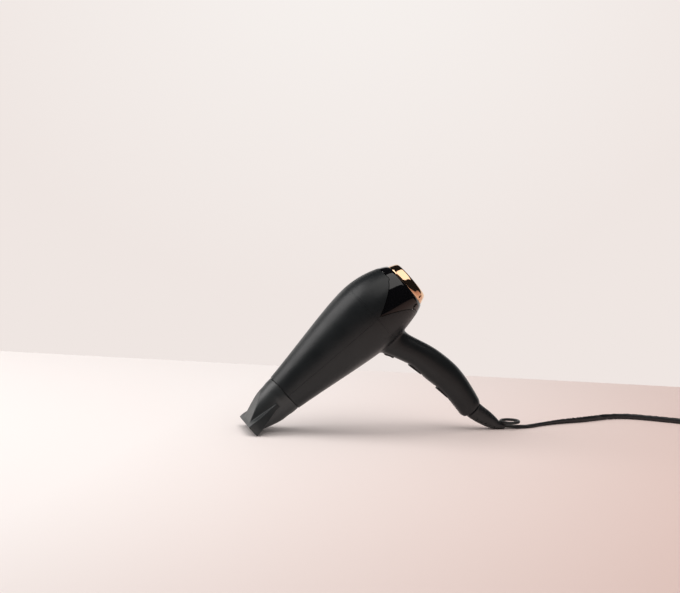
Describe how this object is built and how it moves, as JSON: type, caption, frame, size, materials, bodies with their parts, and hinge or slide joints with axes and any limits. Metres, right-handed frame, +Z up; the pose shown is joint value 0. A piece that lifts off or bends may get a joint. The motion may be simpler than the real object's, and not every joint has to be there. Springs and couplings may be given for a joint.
{
  "type": "hair dryer",
  "caption": "Hand-held hair dryer with a tapered barrel, a turning slot nozzle, a curved handle with slide controls and a cool-shot button, a metal trim ring and a flat cord with a plug.",
  "frame": {"origin": "middle of the dryer's own bounding box, on the surface it lies on; its cord, coil and plug are not counted", "axes": "+X from the nozzle towards the cord boot along the surface, +Y to the side, +Z up; the barrel's axis leans 43.36 degrees up from +X"},
  "size_m": [0.6813, 0.1773, 0.202],
  "materials": {
    "satin_black_housing": "fine satin moulded plastic",
    "gloss_black_cap": "polished high-gloss black plastic",
    "nozzle_black": "satin heat-resistant plastic, a little greyer than the housing",
    "rose_gold_trim": "rose-gold plated mirror finish over moulded plastic",
    "dark_plastic": "fine matt black plastic",
    "heat_plastic": "glass-filled black plastic, dull",
    "white_plastic": "cream thermoset plastic",
    "mica_sheet": "pressed mica sheet, slightly pearly",
    "plated_steel": "zinc-plated steel",
    "heater_wire": "oxidised nickel-chrome wire",
    "pin_metal": "nickel-plated brass",
    "copper_winding": "enamelled copper winding",
    "circuit_board": "brown paper-based circuit board",
    "component_blue": "blue plastic film capacitor body",
    "wire_brown": "brown wire insulation",
    "wire_blue": "blue wire insulation",
    "black_rubber": "soft black plastic, dull",
    "steel_gauze": "fine woven steel gauze"
  },
  "bodies": {
    "dryer": {"barrel_upper_shell": "satin_black_housing", "barrel_lower_shell": "satin_black_housing", "outlet_collar": "heat_plastic", "outlet_grille": "heat_plastic", "mica_sleeve": "mica_sheet", "mica_plate_upright": "mica_sheet", "mica_plate_flat": "mica_sheet", "heater_coil_front": "heater_wire", "heater_coil_rear": "heater_wire", "thermal_cutout": "white_plastic", "thermal_fuse": "plated_steel", "fan_housing": "dark_plastic", "motor": "plated_steel", "motor_brush_cap": "white_plastic", "handle_shell_left": "satin_black_housing", "handle_shell_right": "satin_black_housing", "housing_screw_barrel": "plated_steel", "housing_screw_grip": "plated_steel", "housing_screw_end": "plated_steel", "cool_shot_switch": "dark_plastic", "speed_switch": "dark_plastic", "heat_switch": "dark_plastic", "rectifier_board": "circuit_board", "suppression_capacitor": "component_blue", "choke_coil": "copper_winding", "cord_clamp": "dark_plastic", "cord_inner_end": "black_rubber", "wire_live": "wire_brown", "wire_neutral": "wire_blue", "rear_cap": "gloss_black_cap", "trim_ring": "rose_gold_trim", "cord_boot": "black_rubber", "cord": "black_rubber", "cord_coil": "black_rubber", "cord_tie": "dark_plastic", "plug_body": "black_rubber", "plug_pin_left": "pin_metal", "plug_pin_right": "pin_metal"},
    "snap_ring": {"nozzle_snap_ring": "heat_plastic"},
    "nozzle": {"nozzle": "nozzle_black"},
    "fan": {"fan_impeller": "dark_plastic", "motor_shaft": "plated_steel"},
    "cool_shot_button": {"cool_shot_button": "dark_plastic", "cool_shot_spring": "plated_steel"},
    "speed_slide": {"speed_slide": "dark_plastic"},
    "heat_slide": {"heat_slide": "dark_plastic"},
    "rear_grille": {"rear_grille": "gloss_black_cap", "filter_mesh": "steel_gauze"}
  },
  "joints": [
    {"name": "nozzle_pull", "type": "slide", "parent": "dryer", "child": "snap_ring", "axis": [-0.7271, 0, -0.6865], "range_m": [0, 0.03]},
    {"name": "nozzle_spin", "type": "hinge", "parent": "snap_ring", "child": "nozzle", "pos_m": [-0.12321, 0, 0.04637], "axis": [0.7271, 0, 0.6865], "continuous": true},
    {"name": "fan_spin", "type": "hinge", "parent": "dryer", "child": "fan", "pos_m": [-0.0146, 0, 0.14891], "axis": [0.7271, 0, 0.6865], "continuous": true},
    {"name": "cool_shot_press", "type": "slide", "parent": "dryer", "child": "cool_shot_button", "axis": [0.3487, 0, 0.9372], "range_m": [0, 0.0025], "stiffness_N_per_m": 400, "springref_m": -0.0015},
    {"name": "speed_slide", "type": "slide", "parent": "dryer", "child": "speed_slide", "axis": [-0.7917, 0, 0.6109], "range_m": [-0.005, 0.005]},
    {"name": "heat_slide", "type": "slide", "parent": "dryer", "child": "heat_slide", "axis": [-0.7334, 0, 0.6798], "range_m": [-0.005, 0.005]},
    {"name": "grille_pull", "type": "slide", "parent": "dryer", "child": "rear_grille", "axis": [0.7527, 0, 0.6584], "range_m": [0, 0.03]}
  ]
}
